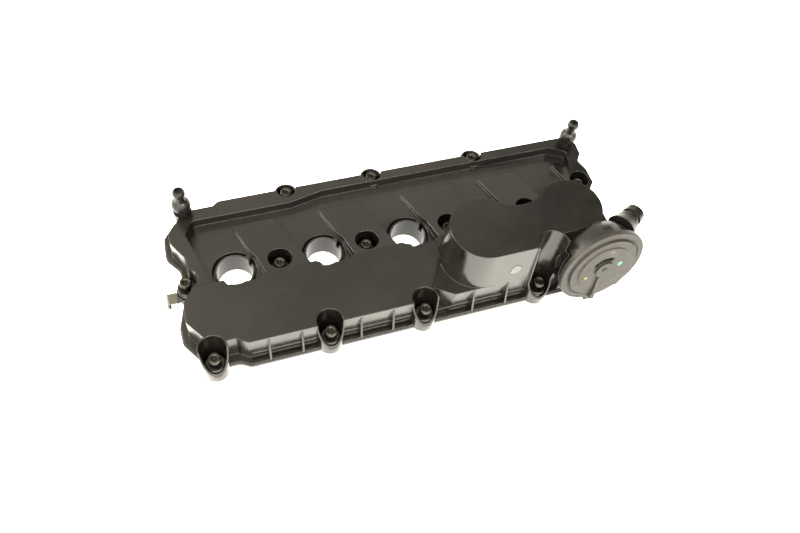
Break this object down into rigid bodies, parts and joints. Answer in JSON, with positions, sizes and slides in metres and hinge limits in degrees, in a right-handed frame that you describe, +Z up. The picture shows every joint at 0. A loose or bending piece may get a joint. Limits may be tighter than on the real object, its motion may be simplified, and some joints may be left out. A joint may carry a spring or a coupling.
{
  "type": "cylinder head cover",
  "caption": "Moulded cover for the head of an in-line engine, with coil tubes, an oil separator box, a vapour chamber and a round pressure-regulating valve.",
  "frame": {"origin": "axis of the middle coil tube, on the plane of the flange's sealing face", "axes": "+X along the row of coil tubes towards the valve, +Y away from the valve towards the rear rail, +Z up out of the cover"},
  "size_m": [0.4718, 0.203, 0.1012],
  "materials": {
    "clip_plastic": "natural-coloured moulded plastic",
    "cover_plastic": "black glass-filled nylon, smooth moulded skin with a soft gloss",
    "diaphragm_rubber": "fabric-backed rubber sheet",
    "flap_plastic": "thin moulded flap, plain skin",
    "floor_plastic": "black nylon plate welded inside the cover, plain moulded skin",
    "grommet_rubber": "black damping rubber, satin",
    "lid_plastic": "grey moulded plastic with fine grain",
    "pin_steel": "bright steel wire",
    "plate_plastic": "natural moulded plastic",
    "ring_plastic": "black moulded plastic",
    "screw_steel": "zinc-plated steel, dulled",
    "seal_rubber": "moulded sealing rubber, satin",
    "sleeve_steel": "zinc-plated pressed steel",
    "spring_steel": "bright spring wire",
    "stud_plastic": "dark glass-filled nylon, satin",
    "valve_plastic": "grey moulded plastic"
  },
  "bodies": {
    "cover": {"ball_stud_left": "stud_plastic", "ball_stud_right": "stud_plastic", "cover_body": "cover_plastic", "cover_gasket": "seal_rubber", "flap_pin": "pin_steel", "harness_clip": "clip_plastic", "hose_port": "ring_plastic", "hose_port_ring": "ring_plastic", "screw_grommets": "grommet_rubber", "screw_sleeves": "sleeve_steel", "separator_floor": "floor_plastic", "tube_seal_1": "seal_rubber", "tube_seal_2": "seal_rubber", "tube_seal_3": "seal_rubber", "tube_seal_4": "seal_rubber", "tube_seal_5": "seal_rubber", "valve_diaphragm": "diaphragm_rubber", "valve_housing": "valve_plastic", "valve_lid": "lid_plastic", "valve_seal": "seal_rubber", "valve_spring": "spring_steel"},
    "end_screw_left_body": {"end_screw_left": "screw_steel"},
    "end_screw_right_body": {"end_screw_right": "screw_steel"},
    "flange_screw_1_body": {"flange_screw_1": "screw_steel"},
    "flange_screw_2_body": {"flange_screw_2": "screw_steel"},
    "flange_screw_3_body": {"flange_screw_3": "screw_steel"},
    "flange_screw_4_body": {"flange_screw_4": "screw_steel"},
    "flange_screw_5_body": {"flange_screw_5": "screw_steel"},
    "flange_screw_6_body": {"flange_screw_6": "screw_steel"},
    "flange_screw_7_body": {"flange_screw_7": "screw_steel"},
    "flange_screw_8_body": {"flange_screw_8": "screw_steel"},
    "well_screw_1_body": {"well_screw_1": "screw_steel"},
    "well_screw_2_body": {"well_screw_2": "screw_steel"},
    "well_screw_3_body": {"well_screw_3": "screw_steel"},
    "well_screw_4_body": {"well_screw_4": "screw_steel"},
    "valve_plate_body": {"valve_plate": "plate_plastic"},
    "drain_flap_body": {"drain_flap": "flap_plastic"}
  },
  "joints": [
    {"name": "end_screw_left_lift", "type": "slide", "parent": "cover", "child": "end_screw_left_body", "axis": [0, 0, 1], "range_m": [-0.0059, 0.003]},
    {"name": "end_screw_right_lift", "type": "slide", "parent": "cover", "child": "end_screw_right_body", "axis": [0, 0, 1], "range_m": [-0.0059, 0.003]},
    {"name": "flange_screw_1_lift", "type": "slide", "parent": "cover", "child": "flange_screw_1_body", "axis": [0, 0, 1], "range_m": [-0.0059, 0.003]},
    {"name": "flange_screw_2_lift", "type": "slide", "parent": "cover", "child": "flange_screw_2_body", "axis": [0, 0, 1], "range_m": [-0.0059, 0.003]},
    {"name": "flange_screw_3_lift", "type": "slide", "parent": "cover", "child": "flange_screw_3_body", "axis": [0, 0, 1], "range_m": [-0.0059, 0.003]},
    {"name": "flange_screw_4_lift", "type": "slide", "parent": "cover", "child": "flange_screw_4_body", "axis": [0, 0, 1], "range_m": [-0.0059, 0.003]},
    {"name": "flange_screw_5_lift", "type": "slide", "parent": "cover", "child": "flange_screw_5_body", "axis": [0, 0, 1], "range_m": [-0.0059, 0.003]},
    {"name": "flange_screw_6_lift", "type": "slide", "parent": "cover", "child": "flange_screw_6_body", "axis": [0, 0, 1], "range_m": [-0.0059, 0.003]},
    {"name": "flange_screw_7_lift", "type": "slide", "parent": "cover", "child": "flange_screw_7_body", "axis": [0, 0, 1], "range_m": [-0.0059, 0.003]},
    {"name": "flange_screw_8_lift", "type": "slide", "parent": "cover", "child": "flange_screw_8_body", "axis": [0, 0, 1], "range_m": [-0.0059, 0.003]},
    {"name": "well_screw_1_lift", "type": "slide", "parent": "cover", "child": "well_screw_1_body", "axis": [0, 0, 1], "range_m": [-0.0059, 0.003]},
    {"name": "well_screw_2_lift", "type": "slide", "parent": "cover", "child": "well_screw_2_body", "axis": [0, 0, 1], "range_m": [-0.0059, 0.003]},
    {"name": "well_screw_3_lift", "type": "slide", "parent": "cover", "child": "well_screw_3_body", "axis": [0, 0, 1], "range_m": [-0.0059, 0.003]},
    {"name": "well_screw_4_lift", "type": "slide", "parent": "cover", "child": "well_screw_4_body", "axis": [0, 0, 1], "range_m": [-0.0059, 0.003]},
    {"name": "valve_plate_stroke", "type": "slide", "parent": "cover", "child": "valve_plate_body", "axis": [0.0515, -0.9835, 0.1736], "range_m": [-0.006, 0.002], "stiffness_N_per_m": 250, "deforming": ["valve_spring", "valve_diaphragm"]},
    {"name": "drain_flap_hinge", "type": "hinge", "parent": "cover", "child": "drain_flap_body", "pos_m": [-0.07, -0.034, 0.0033], "axis": [1, 0, 0], "range_deg": [0, 40], "stiffness_Nm_per_rad": 0.002}
  ]
}
